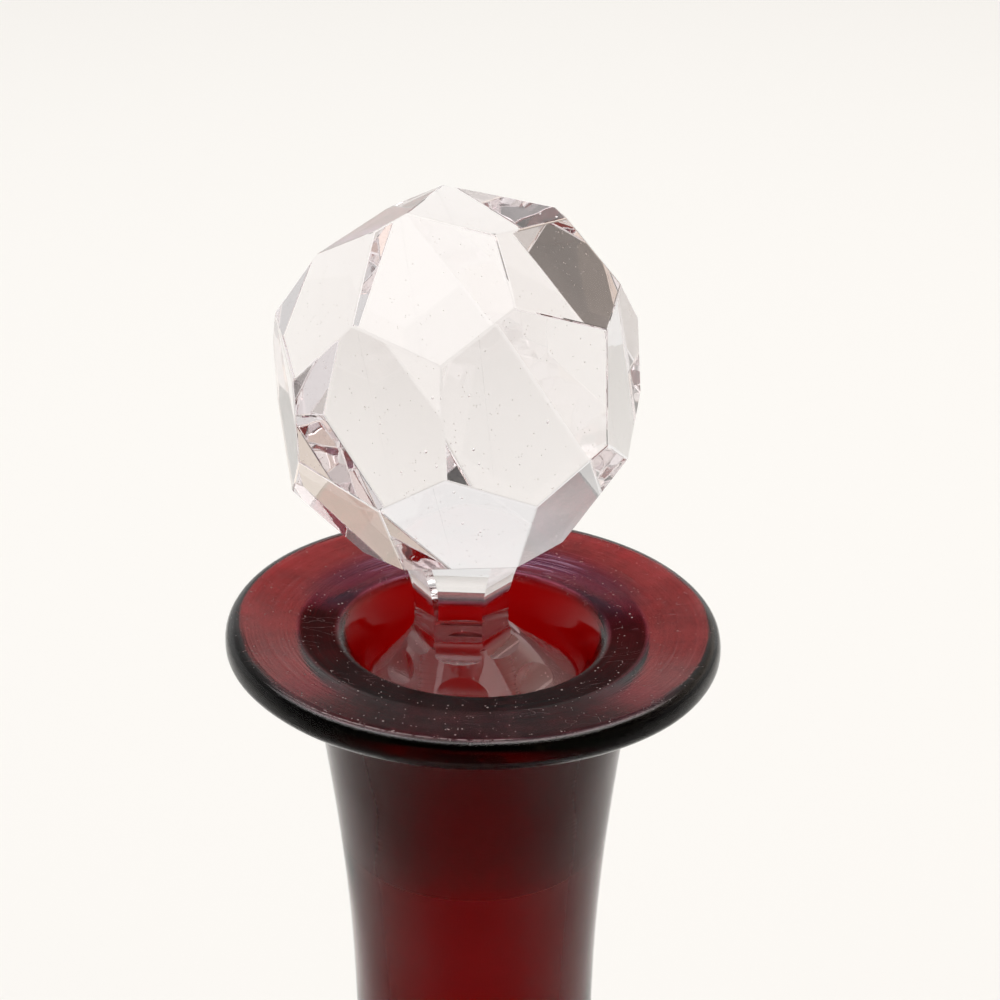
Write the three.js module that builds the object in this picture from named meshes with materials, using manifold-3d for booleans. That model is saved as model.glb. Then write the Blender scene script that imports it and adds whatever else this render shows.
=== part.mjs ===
// A ruby glass decanter with a cut ball stopper: two pieces of glass, in millimetres, +Z up.
// The origin is the middle of the foot, on the surface that the decanter stands on. Its front faces -Y.
import * as THREE from 'three';
import { mergeVertices } from 'three/addons/utils/BufferGeometryUtils.js';
import Module from 'manifold-3d';

// Heights above the table
const lipHeight = 235; // plane of the lip's widest circle
const waistHeight = 172; // narrowest place of the neck
const bellyHeight = 68; // widest place of the body

// Lip: a wide flat collar, ground on top, that dips towards the mouth
const lipDiameter = 66;
const lipAbove = 2.3; // from the widest circle up to the top face
const lipBelow = 3; // from the widest circle down to the underside
const lipTopEdge = 1.6; // rounding from the ground top face into the rim
const lipUnderReach = 7; // how far in from the rim its underside starts to round up
const lipUnderFullness = 0.55; // share of reach and fall over which that rounding leaves straight
const lipDip = 1.5; // fall of the top face from rim to mouth
const lipLean = 1.5; // the lip sits a little out of square on its neck, lower on the right, in degrees
const mouthDiameter = 34.7;
const mouthRounding = 1.4;
const throatRounding = 2; // height of the curve that runs from the mouth into the seat

// Ground plug of the stopper, and the ground seat that it drops into
const plugTopDiameter = 27.8;
const plugTaper = 2.4; // loss of diameter over the plug's length
const plugLength = 24.5;
const plugDepth = 6.5; // from the lip's plane down to the top of the plug
const plugEdge = 1; // bevel round the plug's lower end
const seatClearance = 0.3; // all round, square to the axis
const seatRunOut = 1.2; // how far the ground seat goes on below the plug

// Neck
const seatWall = 7.2; // glass around the seat, where the neck meets its collar
const neckWaistBore = 24.8;
const neckWaistWall = 4.5;
const neckEase = 0.35; // share of the neck's rise over which it stays near its waist
const boreEase = 5; // length of the curve from the seat into the bore, and out of it again
const collarFlare = 8.5; // height over which the neck opens out under the lip
const collarSwell = 1.15; // how far the flare follows the neck's own line outwards
const collarReach = 3.45; // how far out the flare meets the lip's underside

// Body, with the shares of its height that keep its curves full
const bodyDiameter = 122;
const bodyWall = 3.7;
const bellyFullness = 0.45; // below the belly
const shoulderFullness = 0.4; // above the belly
const shoulderSweep = 0.48; // how far the neck's own line reaches down into the shoulder
const shoulderFlare = 1; // opening of the neck where it leaves its waist downwards
const shoulderThinning = 0.02; // the glass of the shoulder thins towards the neck by this share
const footDiameter = 79;
const footFullness = 0.6; // share of the way out over which the body stays low
const footHeel = 4.5; // height of the body's curve as it leaves the foot
const footRingWidth = 9; // flat ring that touches the table
const footEdge = 1.5;
const kickHeight = 11; // hollow pushed up under the base
const pontilDiameter = 22; // flat polished disc at the top of that hollow
const baseThickness = 7.5;

// Ball of the stopper, measured from its centre
const ballHeight = 34.5; // from the lip's plane up to the centre
const ballShiftLeft = 1.6; // the ball and its neck stand a little out of line with the plug
const ballShiftBack = 0.6;
const ballLeft = 4.5; // lean of the cutting pattern in degrees
const ballBack = 5;
const upperRowDepth = 22.9; // centre to facet, as for the rows below
const middleRowDepth = 21;
const lowerRowDepth = 20.4;
const crownDepth = 24.43;
const crownRight = 7.1; // lean of the crown facet in degrees
const crownBack = -2.8;
const ballBottomDepth = 20.5;

// Six-sided neck of the stopper
const sides = 6;
const neckTurn = -4; // bearing of the front flat in degrees
const stopperWaistHeight = 5; // above the lip's plane, where the neck starts to open out
const stopperWaistFlats = 10.9; // across flats at the waist
const stopperTopFlats = 16.1; // across flats under the ball
const fluteEase = 0.3; // share of the rise over which a flute stays near the waist
const fluteFlare = 0.8; // how far a flute still opens just under the ball
const fluteFootReach = 9; // from the neck's axis to where a flute comes out over the shoulder
const fluteFootBelow = 0.9; // depth of that place under the lip's plane
const fluteFootAbove = 2.3; // height from which a flute runs straight up
const neckOverlap = 1; // how far the neck reaches up into the ball, which it is one lump with

// Shoulder of the stopper, a cone that runs down from the neck to the plug with a scoop under each flute
const coneTopRadius = 6.6;
const coneTopHeight = 0.3; // above the lip's plane
const coneNeckSpread = 9.8; // radius of the blank where it meets the ball, which the flutes cut away
const scoopWheel = 6; // radius of the wheel
const scoopDepth = 0.35;

// Facets as the wheel left them: bearing from the front, slope, and share of the row's depth beyond it
const upperRow = [
  [-103, 66.1, 0.052], [-64.2, 37.1, 0.007], [-5.8, 46.3, 0.008], [48, 42.3, 0.036],
  [103, 31.9, 0.035], [153.2, 46.6, -0.047], [241.5, 36.3, 0.023],
];
const middleRow = [
  [-78.5, 1.9, 0.059], [-27.9, 2.1, 0.006], [25.9, 0, -0.053], [73.3, -2.5, 0.008],
  [125.1, 2.3, 0.008], [153.1, -2.6, -0.009], [228.3, 0.2, 0.041],
];
const lowerRow = [
  [-48.9, -34.6, 0.055], [-1.1, -41.6, -0.03], [51, -37.5, -0.008],
  [104.2, -33.2, 0.044], [183, -23.3, 0.007], [235.1, -35.2, -0.039],
];

const roundSteps = 56; // flats of a round surface
const wasm = await Module();
wasm.setup();

// A closed three.js geometry as a solid
function solid(geometry) {
  const bare = geometry.clone();
  bare.deleteAttribute('normal');
  bare.deleteAttribute('uv');
  const merged = mergeVertices(bare, 1e-4);
  const vertProperties = merged.attributes.position.array;
  const triVerts = new Uint32Array(merged.index.array);
  return new wasm.Manifold(new wasm.Mesh({ numProp: 3, vertProperties, triVerts }));
}

// A solid back as a three.js geometry
function geometryOf(body) {
  const mesh = body.getMesh();
  const geometry = new THREE.BufferGeometry();
  geometry.setAttribute('position', new THREE.BufferAttribute(mesh.vertProperties, 3));
  geometry.setIndex(new THREE.BufferAttribute(mesh.triVerts, 1));
  geometry.computeVertexNormals();
  return geometry;
}

// Points along several curves, end to end, with the number of steps that each one needs
function outline(runs) {
  const points = [runs[0][0].getPoint(0)];
  for (const [curve, steps] of runs) points.push(...curve.getPoints(steps).slice(1));
  return points;
}

// A profile of radius and height turned round the Z axis
function turned(points) {
  return new THREE.LatheGeometry(points, roundSteps).rotateX(Math.PI / 2);
}

function at(radius, height) {
  return new THREE.Vector2(radius, height);
}

function line(from, to) {
  return [new THREE.LineCurve(from, to), 1];
}

function bend(from, control, to, steps) {
  return [new THREE.QuadraticBezierCurve(from, control, to), steps];
}

function sweep(from, leaving, arriving, to, steps) {
  return [new THREE.CubicBezierCurve(from, leaving, arriving, to), steps];
}

// Plug and seat share one taper, so their gap is the same all the way down
const plugTop = lipHeight - plugDepth;
const plugBottom = plugTop - plugLength;
const plugRadiusAt = (height) => (plugTopDiameter - (plugTaper * (plugTop - height)) / plugLength) / 2;
const seatRadiusAt = (height) => plugRadiusAt(height) + seatClearance;
const seatBottom = plugBottom - seatRunOut;

// Outside of the bottle, from the middle of the hollow under the base up to the underside of the lip
function outsideRuns(bodyRadius, waistRadius, rimFoot, lipUnder) {
  const footRadius = footDiameter / 2;
  const footSpread = bodyRadius - footRadius;
  const ringOuter = footRadius - footEdge;
  const ringInner = ringOuter - footRingWidth;
  const pontilRadius = pontilDiameter / 2;
  const shoulderRise = waistHeight - bellyHeight;
  const collar = at(seatRadiusAt((plugTop + plugBottom) / 2) + seatWall, lipUnder - collarFlare);
  const neckRise = collar.y - waistHeight;
  const neckSpread = collar.x - waistRadius;
  return [
    line(at(0, kickHeight), at(pontilRadius, kickHeight)),
    bend(at(pontilRadius, kickHeight), at(ringInner - footEdge, kickHeight), at(ringInner, 0), 5),
    line(at(ringInner, 0), at(ringOuter, 0)),
    bend(at(ringOuter, 0), at(footRadius, 0), at(footRadius, footEdge), 2),
    sweep(at(footRadius, footEdge), at(footRadius + footFullness * footSpread, footHeel),
      at(bodyRadius, bellyFullness * bellyHeight), at(bodyRadius, bellyHeight), 10),
    sweep(at(bodyRadius, bellyHeight), at(bodyRadius, bellyHeight + shoulderFullness * shoulderRise),
      at(waistRadius + shoulderFlare, bellyHeight + shoulderSweep * shoulderRise),
      at(waistRadius, waistHeight), 13),
    sweep(at(waistRadius, waistHeight), at(waistRadius, waistHeight + neckEase * neckRise),
      at(collar.x - (1 - neckEase) * neckSpread, waistHeight + (1 - neckEase) * neckRise), collar, 5),
    bend(collar, at(collar.x + collarSwell, lipUnder), at(collar.x + collarReach, lipUnder), 5),
    line(at(collar.x + collarReach, lipUnder), at(rimFoot, lipUnder)),
  ];
}

// Lip, from its underside over the rim and the top face into the mouth and down to the seat
function lipRuns(lipRadius, rimFoot, lipUnder) {
  const lipTop = lipHeight + lipAbove;
  const mouthTop = lipTop - lipDip;
  const mouthRadius = mouthDiameter / 2;
  const mouthOuter = at(mouthRadius + mouthRounding, mouthTop);
  const mouthInner = at(mouthRadius - mouthRounding, mouthTop - 2 * mouthRounding);
  const seatTop = at(seatRadiusAt(plugTop), plugTop);
  return [
    sweep(at(rimFoot, lipUnder), at(rimFoot + lipUnderFullness * lipUnderReach, lipUnder),
      at(lipRadius, lipHeight - lipUnderFullness * lipBelow), at(lipRadius, lipHeight), 6),
    bend(at(lipRadius, lipHeight), at(lipRadius, lipTop), at(lipRadius - lipTopEdge, lipTop), 3),
    line(at(lipRadius - lipTopEdge, lipTop), mouthOuter),
    bend(mouthOuter, at(mouthRadius, mouthTop), mouthInner, 4),
    bend(mouthInner, at(seatTop.x, plugTop + throatRounding), seatTop, 2),
  ];
}

// Inside of the bottle, from the ground seat down to the middle of the floor
function insideRuns(bodyRadius, boreRadius) {
  const hollowRadius = bodyRadius - bodyWall;
  const footRadius = footDiameter / 2;
  const floorRadius = footRadius - footEdge - footRingWidth / 2;
  const floorSpread = (bodyRadius - footRadius) / 2;
  const pontilRadius = pontilDiameter / 2;
  const shoulderRise = waistHeight - bellyHeight;
  const innerSweep = (shoulderSweep - shoulderThinning) * shoulderRise;
  const innerFullness = (shoulderFullness - shoulderThinning) * shoulderRise;
  return [
    line(at(seatRadiusAt(plugTop), plugTop), at(seatRadiusAt(seatBottom), seatBottom)),
    sweep(at(seatRadiusAt(seatBottom), seatBottom), at(boreRadius, seatBottom - boreEase),
      at(boreRadius, waistHeight + boreEase), at(boreRadius, waistHeight), 3),
    sweep(at(boreRadius, waistHeight), at(boreRadius + shoulderFlare, bellyHeight + innerSweep),
      at(hollowRadius, bellyHeight + innerFullness), at(hollowRadius, bellyHeight), 13),
    sweep(at(hollowRadius, bellyHeight), at(hollowRadius, bellyHeight / 2),
      at(floorRadius + floorSpread, baseThickness), at(floorRadius, baseThickness), 9),
    bend(at(floorRadius, baseThickness), at(pontilRadius, baseThickness),
      at(0, kickHeight + baseThickness), 5),
  ];
}

function makeBottle() {
  const bodyRadius = bodyDiameter / 2;
  const boreRadius = neckWaistBore / 2;
  const lipRadius = lipDiameter / 2;
  const rimFoot = lipRadius - lipUnderReach;
  const lipUnder = lipHeight - lipBelow;
  const runs = [
    ...outsideRuns(bodyRadius, boreRadius + neckWaistWall, rimFoot, lipUnder),
    ...lipRuns(lipRadius, rimFoot, lipUnder),
    ...insideRuns(bodyRadius, boreRadius),
  ];
  return leanLip(turned(outline(runs)));
}

// Drops the lip on its right and lifts it on its left, and leaves what lies below the seat's top alone
function leanLip(geometry) {
  const places = geometry.attributes.position;
  const fall = Math.tan(THREE.MathUtils.degToRad(lipLean));
  for (let i = 0; i < places.count; i += 1) {
    const share = THREE.MathUtils.smoothstep(places.getZ(i), plugTop, lipHeight - lipBelow);
    places.setZ(i, places.getZ(i) - share * fall * places.getX(i));
  }
  return geometry;
}

// Unit vector that looks out of the ball at a bearing from the front and a slope above the level
function outward(bearing, slope) {
  const turn = THREE.MathUtils.degToRad(bearing);
  const rise = THREE.MathUtils.degToRad(slope);
  return new THREE.Vector3(Math.sin(turn) * Math.cos(rise), -Math.cos(turn) * Math.cos(rise), Math.sin(rise));
}

// A large block whose one face lies at a depth from the centre, square to a direction
function grindingBlock(direction, depth, block) {
  const geometry = new THREE.BoxGeometry(block, block, block).translate(0, 0, block / 2 + depth);
  const turn = new THREE.Quaternion().setFromUnitVectors(new THREE.Vector3(0, 0, 1), direction);
  return geometry.applyQuaternion(turn);
}

// A lean to the back and to the right, in degrees
function tilt(back, right) {
  const turn = new THREE.Euler(THREE.MathUtils.degToRad(-back), THREE.MathUtils.degToRad(right), 0);
  return new THREE.Quaternion().setFromEuler(turn);
}

function makeBall() {
  const blank = 4 * crownDepth;
  const lean = tilt(ballBack, -ballLeft);
  const up = new THREE.Vector3(0, 0, 1);
  const cuts = [[up.clone().applyQuaternion(tilt(crownBack, crownRight)), crownDepth]];
  const rows = [[upperRow, upperRowDepth], [middleRow, middleRowDepth], [lowerRow, lowerRowDepth]];
  for (const [row, depth] of rows)
    for (const [bearing, slope, proud] of row)
      cuts.push([outward(bearing, slope).applyQuaternion(lean), depth * (1 + proud)]);
  cuts.push([up.clone().negate(), ballBottomDepth]);
  let ball = solid(new THREE.BoxGeometry(blank, blank, blank));
  for (const [direction, depth] of cuts)
    ball = ball.subtract(solid(grindingBlock(direction, depth, 2 * blank)));
  return ball;
}

// One hollow flute of the neck, as the solid that the wheel takes away, at the front of the axis
function makeFlute(width) {
  const waist = stopperWaistFlats / 2;
  const top = stopperTopFlats / 2;
  const ballFoot = ballHeight - ballBottomDepth;
  const rise = ballFoot - stopperWaistHeight;
  const shape = new THREE.Shape();
  shape.moveTo(width, -fluteFootBelow);
  shape.lineTo(fluteFootReach, -fluteFootBelow);
  shape.quadraticCurveTo(waist, -fluteFootBelow, waist, fluteFootAbove);
  shape.lineTo(waist, stopperWaistHeight);
  shape.bezierCurveTo(waist, stopperWaistHeight + fluteEase * rise,
    top - fluteFlare, stopperWaistHeight + (1 - fluteEase / 2) * rise, top, ballFoot);
  shape.lineTo(top, 2 * ballFoot);
  shape.lineTo(width, 2 * ballFoot);
  const flute = new THREE.ExtrudeGeometry(shape, { depth: 2 * width, bevelEnabled: false, curveSegments: 9 });
  return flute.translate(0, 0, -width).rotateX(Math.PI / 2).rotateZ(-Math.PI / 2);
}

// One scoop of the shoulder, as the wheel that grinds it, at the front of the axis
function makeScoop() {
  const spread = plugTopDiameter / 2 - coneTopRadius;
  const rise = coneTopHeight + plugDepth;
  const slant = Math.hypot(spread, rise);
  const out = coneTopRadius + spread / 2 + ((scoopWheel - scoopDepth) * rise) / slant;
  const up = coneTopHeight - rise / 2 + ((scoopWheel - scoopDepth) * spread) / slant;
  const wheel = new THREE.CylinderGeometry(scoopWheel, scoopWheel, plugTopDiameter, 2 * roundSteps);
  return wheel.rotateZ(Math.PI / 2).translate(0, -out, up);
}

// The plug and the stuff that neck and shoulder are cut from, which stands in line with the ball higher up
function makeBlank() {
  const neckTop = lipHeight + ballHeight - ballBottomDepth + neckOverlap;
  const geometry = turned([
    at(0, plugBottom),
    at(plugRadiusAt(plugBottom) - plugEdge, plugBottom),
    at(plugRadiusAt(plugBottom + plugEdge), plugBottom + plugEdge),
    at(plugTopDiameter / 2, plugTop),
    at(coneTopRadius, lipHeight + coneTopHeight),
    at(coneNeckSpread, neckTop),
    at(0, neckTop),
  ]);
  const places = geometry.attributes.position;
  for (let i = 0; i < places.count; i += 1) {
    if (places.getZ(i) < lipHeight) continue;
    places.setXY(i, places.getX(i) - ballShiftLeft, places.getY(i) + ballShiftBack);
  }
  return geometry;
}

function makeStopper() {
  let stopper = solid(makeBlank());
  for (let side = 0; side < sides; side += 1) {
    const bearing = THREE.MathUtils.degToRad(neckTurn + (side * 360) / sides);
    const flute = makeFlute(2 * plugTopDiameter).rotateZ(bearing);
    flute.translate(-ballShiftLeft, ballShiftBack, lipHeight);
    const scoop = makeScoop().rotateZ(bearing).translate(-ballShiftLeft / 2, ballShiftBack / 2, lipHeight);
    stopper = stopper.subtract(solid(flute)).subtract(solid(scoop));
  }
  const ball = makeBall().translate([-ballShiftLeft, ballShiftBack, lipHeight + ballHeight]);
  return geometryOf(stopper.add(ball));
}

// Ruby glass, clear inside its colour
const ruby = new THREE.MeshStandardMaterial({ color: 0x7a0612, roughness: 0.06, metalness: 0 });
// Clear lead glass with a faint mauve cast
const clear = new THREE.MeshStandardMaterial({ color: 0xe9e4ec, roughness: 0.04, metalness: 0 });

const decanter = new THREE.Group();
const bottle = new THREE.Mesh(makeBottle(), ruby);
bottle.name = 'bottle';
const stopper = new THREE.Mesh(makeStopper(), clear);
stopper.name = 'stopper';
decanter.add(bottle, stopper);

export default decanter;
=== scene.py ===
"""A ruby glass decanter with a cut ball stopper: blown bottle and clear stopper, round the fixed frame."""
import math
import random
from typing import NamedTuple

import bmesh
import bpy
from bpy.props import FloatProperty, FloatVectorProperty, IntProperty, PointerProperty
from mathutils import Matrix, Vector, noise
from mathutils.geometry import interpolate_bezier


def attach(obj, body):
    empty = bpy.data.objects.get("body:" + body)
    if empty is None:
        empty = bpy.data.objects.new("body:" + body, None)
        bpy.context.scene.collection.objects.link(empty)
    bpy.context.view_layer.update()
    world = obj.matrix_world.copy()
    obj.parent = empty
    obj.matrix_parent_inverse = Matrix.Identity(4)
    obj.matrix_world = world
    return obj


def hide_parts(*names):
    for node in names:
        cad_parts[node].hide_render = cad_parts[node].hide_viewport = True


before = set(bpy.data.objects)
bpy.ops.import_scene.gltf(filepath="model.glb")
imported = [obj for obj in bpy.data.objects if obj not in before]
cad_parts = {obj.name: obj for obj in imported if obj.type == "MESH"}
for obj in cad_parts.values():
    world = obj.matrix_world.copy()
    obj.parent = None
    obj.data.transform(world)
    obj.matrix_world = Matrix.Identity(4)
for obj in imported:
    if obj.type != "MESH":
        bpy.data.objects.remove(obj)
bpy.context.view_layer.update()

bl_info = {
    "name": "Ruby decanter",
    "version": (1, 0, 0),
    "blender": (4, 5, 0),
    "location": "View3D > Sidebar > Decanter",
    "description": "Makes a ruby glass decanter with a cut ball stopper",
    "category": "Add Mesh",
}

MM = 0.001
UP = Vector((0, 0, 1))
WHITE = (1, 1, 1, 1)
ROUND_STEPS = 240
MERGE_DISTANCE = 0.002 * MM
SLIVER = 0.004 * MM
SHARP_EDGE = math.radians(8)
LARGE_FACET = 5 * MM
WEAR_WIDTH = 0.35 * MM
BEVEL_STEPS = 3
LIGHT_BOUNCES = 24

# Unevenness of the lip: bumps per metre on its top and round its rim, and how far from the throat it starts
TOP_BUMPS = 60
RIM_BUMPS = 45
THROAT_MARGIN = 2 * MM

# Bubbles in the ball: count, seed of the draws, the box that holds them and sizes, in millimetres
BUBBLES = 9
BUBBLE_SEED = 11
BUBBLE_BOX = ((-9, 9), (-16, -4), (-14, 6))
BUBBLE_SIZES = (0.12, 0.26)

# Steps along the stretches of the turned outlines
STEPS = {
    "pontil": 3, "kick": 14, "ring": 4, "foot": 5, "belly": 26, "shoulder": 36, "neck": 16, "collar": 16,
    "underside": 3, "rim": 16, "top edge": 7, "top face": 12, "mouth": 10, "throat": 6, "seat": 12,
    "bore": 10, "inner belly": 24, "floor": 14, "flute foot": 36, "flute": 3, "flute top": 24,
}

# Facets of the ball, as a search program estimated them: bearing from the front, slope, share of added depth
UPPER_ROW = (
    (-103, 66.1, 0.052), (-64.2, 37.1, 0.007), (-5.8, 46.3, 0.008), (48, 42.3, 0.036),
    (103, 31.9, 0.035), (153.2, 46.6, -0.047), (241.5, 36.3, 0.023),
)
MIDDLE_ROW = (
    (-78.5, 1.9, 0.059), (-27.9, 2.1, 0.006), (25.9, 0, -0.053), (73.3, -2.5, 0.008),
    (125.1, 2.3, 0.008), (153.1, -2.6, -0.009), (228.3, 0.2, 0.041),
)
LOWER_ROW = (
    (-48.9, -34.6, 0.055), (-1.1, -41.6, -0.03), (51, -37.5, -0.008),
    (104.2, -33.2, 0.044), (183, -23.3, 0.007), (235.1, -35.2, -0.039),
)


def length(name, millimetres, description):
    return FloatProperty(
        name=name, description=description, default=millimetres * MM, unit="LENGTH", precision=5
    )


def share(name, value, description):
    return FloatProperty(name=name, description=description, default=value, min=0, max=1, subtype="FACTOR")


def number(name, value, description):
    return FloatProperty(name=name, description=description, default=value, min=0)


def angle(name, degrees, description):
    return FloatProperty(name=name, description=description, default=math.radians(degrees), subtype="ANGLE")


def colour(name, rgb, description):
    return FloatVectorProperty(
        name=name, description=description, default=rgb, size=3, min=0, max=1, subtype="COLOR"
    )


class BottleSizes(bpy.types.PropertyGroup):
    """Sizes of the bottle, which are the frame's own"""

    lip_height: length("Lip height", 235, "Plane of the lip's widest circle")
    waist_height: length("Waist height", 172, "Narrowest place of the neck")
    belly_height: length("Belly height", 68, "Widest place of the body")
    lip_diameter: length("Lip diameter", 66, "Widest circle of the lip")
    lip_above: length("Lip above", 2.3, "From the widest circle up to the top face")
    lip_below: length("Lip below", 3, "From the widest circle down to the underside")
    lip_top_edge: length("Lip top edge", 1.6, "Rounding from the top face into the rim")
    under_reach: length("Under reach", 7, "How far in from the rim its underside starts to round up")
    under_fullness: share("Under fullness", 0.55, "Share over which that rounding leaves straight")
    lip_dip: length("Lip dip", 1.5, "Fall of the top face from rim to mouth")
    lip_lean: angle("Lip lean", 1.5, "How far the lip leans, lower on the right")
    mouth_diameter: length("Mouth diameter", 34.7, "Edge of the mouth")
    mouth_rounding: length("Mouth rounding", 1.4, "Half the width of the mouth's rounded edge")
    throat_rounding: length("Throat rounding", 2, "Height of the curve from the mouth into the seat")
    seat_wall: length("Seat wall", 7.2, "Glass around the seat")
    waist_bore: length("Waist bore", 24.8, "Bore of the neck below the seat")
    waist_wall: length("Waist wall", 4.5, "Glass around the bore")
    neck_ease: share("Neck ease", 0.35, "Share of the neck's rise that stays near its waist")
    bore_ease: length("Bore ease", 5, "Length of the curve from the seat into the bore")
    collar_flare: length("Collar flare", 8.5, "Height over which the neck opens out under the lip")
    collar_swell: length("Collar swell", 1.15, "How far the flare follows the neck's own line outwards")
    collar_reach: length("Collar reach", 3.45, "How far out the flare meets the lip's underside")
    body_diameter: length("Body diameter", 122, "Widest circle of the body")
    body_wall: length("Body wall", 3.7, "Glass of the body")
    belly_fullness: share("Belly fullness", 0.45, "Fullness of the body below its belly")
    shoulder_fullness: share("Shoulder fullness", 0.4, "Fullness of the body above its belly")
    shoulder_sweep: share("Shoulder sweep", 0.48, "How far the neck's line reaches down into the shoulder")
    shoulder_flare: length("Shoulder flare", 1, "Opening of the neck just below its waist")
    shoulder_thinning: share("Shoulder thinning", 0.02, "How the shoulder's glass thins towards the neck")
    foot_diameter: length("Foot diameter", 79, "Outside of the foot ring")
    foot_fullness: share("Foot fullness", 0.6, "Share of the way out over which the body stays low")
    foot_heel: length("Foot heel", 4.5, "Height of the body's curve as it leaves the foot")
    foot_ring: length("Foot ring", 9, "Width of the flat ring on the table")
    foot_edge: length("Foot edge", 1.5, "Rounding of the foot")
    kick_height: length("Kick height", 11, "Hollow pushed up under the base")
    pontil_diameter: length("Pontil diameter", 22, "Polished disc at the top of that hollow")
    base_thickness: length("Base thickness", 7.5, "Glass of the base")
    waviness: length("Waviness", 0.14, "Unevenness of the hand-shaped lip")


class StopperSizes(bpy.types.PropertyGroup):
    """Sizes of the stopper, which are the frame's own"""

    plug_top: length("Plug top diameter", 27.8, "Ground plug at its upper end")
    plug_taper: length("Plug taper", 2.4, "Loss of diameter over the plug's length")
    plug_length: length("Plug length", 24.5, "Ground length")
    plug_depth: length("Plug depth", 6.5, "From the lip's plane down to the top of the plug")
    plug_edge: length("Plug edge", 1, "Bevel round the plug's lower end")
    seat_clearance: length("Seat clearance", 0.3, "Gap between plug and seat, all round")
    seat_run_out: length("Seat run-out", 1.2, "How far the ground seat goes on below the plug")
    ball_height: length("Ball height", 34.5, "From the lip's plane up to the ball's centre")
    shift_left: length("Shift to the left", 1.6, "Ball out of line with the plug")
    shift_back: length("Shift to the back", 0.6, "Ball out of line with the plug")
    lean_left: angle("Lean to the left", 4.5, "Lean of the cutting pattern")
    lean_back: angle("Lean to the back", 5, "Lean of the cutting pattern")
    upper_depth: length("Upper row", 22.9, "Ball's centre to the facets above the middle")
    middle_depth: length("Middle row", 21, "Ball's centre to the facets round the middle")
    lower_depth: length("Lower row", 20.4, "Ball's centre to the facets below the middle")
    crown_depth: length("Crown", 24.43, "Ball's centre to the facet on top")
    crown_right: angle("Crown to the right", 7.1, "Lean of the top facet")
    crown_back: angle("Crown to the back", -2.8, "Lean of the top facet")
    bottom_depth: length("Bottom", 20.5, "Ball's centre to the neck")
    facet_edge: length("Facet edge", 0.24, "Width of the softened edges between facets")
    sides: IntProperty(name="Sides", description="Flutes of the stopper's neck", default=6, min=3, max=12)
    neck_turn: angle("Neck turn", -4, "Bearing of the front flute")
    neck_waist: length("Neck waist height", 5, "Height above the lip's plane where the neck opens out")
    waist_flats: length("Waist flats", 10.9, "Across flats at the neck's narrowest place")
    top_flats: length("Top flats", 16.1, "Across flats under the ball")
    flute_ease: share("Flute ease", 0.3, "Share of the rise that stays near the waist")
    flute_flare: length("Flute flare", 0.8, "How far a flute still opens just under the ball")
    flute_reach: length("Flute reach", 9, "From the neck's axis to where a flute meets the shoulder")
    flute_foot: length("Flute foot", -0.9, "Height of that place above the lip's plane")
    flute_straight: length("Flute straight", 2.3, "Height from which a flute runs straight up")
    neck_overlap: length("Neck overlap", 1, "How far the neck reaches up into the ball")
    cone_radius: length("Cone radius", 6.6, "Shoulder's cone at its upper end")
    cone_height: length("Cone height", 0.3, "That upper end above the lip's plane")
    neck_spread: length("Neck spread", 9.8, "Radius of the uncut blank at the ball")
    scoop_wheel: length("Scoop wheel", 6, "Radius of the wheel that grinds the scoops")
    scoop_depth: length("Scoop depth", 0.35, "Depth of these scoops")


class DecanterFinish(bpy.types.PropertyGroup):
    """Colours and optics of the glass, colours of its wear, and colours of the shade, sheen and highlights
    painted on the lip
    """

    ruby_through: colour("Ruby, looked through", (0.79, 0.0, 0.03), "What the ruby glass lets through")
    ruby_density: number("Ruby density", 1000, "Strength of the ruby colour, per metre")
    ruby_gleam: colour("Ruby gleam", (0.05, 0.04, 0.04), "Strength of what the ruby glass mirrors")
    ruby_index: number("Ruby index", 1.5, "Refractive index")
    # Also the colour that the painted shade at the lip's front darkens towards
    stain_and_shade: colour("Lip stain", (0.17, 0.055, 0.085), "Darker patches of the lip's worn top")
    glow: colour("Lip glow", (0.68, 0.15, 0.21), "Brighter patches of the lip's worn top")
    # Painted reflection: a purple sheen painted round the back of the mouth
    painted_sheen: colour("Lip haze", (0.15, 0.045, 0.17), "Purple sheen round the back of the mouth")
    # Painted shade: a dark ring painted round the mouth, and a dark patch over the front of the lip's top
    painted_shade: colour("Lip film", (0.06, 0.012, 0.018), "Dark film round the mouth")
    # Painted highlight: pale mauve streak highlights painted in that sheen
    streak_highlight: colour("Lip streaks", (0.66, 0.52, 0.76), "Pale streaks in that sheen")
    # Also the colour of the painted highlight line along the lip's chipped edge
    dust_and_highlight: colour("Dust", (0.66, 0.60, 0.58), "Specks and lint on the glass")
    clear_through: colour("Clear, looked through", (0.95, 0.93, 0.935), "Faint mauve of the stopper's glass")
    clear_density: number("Clear density", 30, "Strength of the stopper's own colour, per metre")
    clear_index: number("Clear index", 1.54, "Refractive index")


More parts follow.
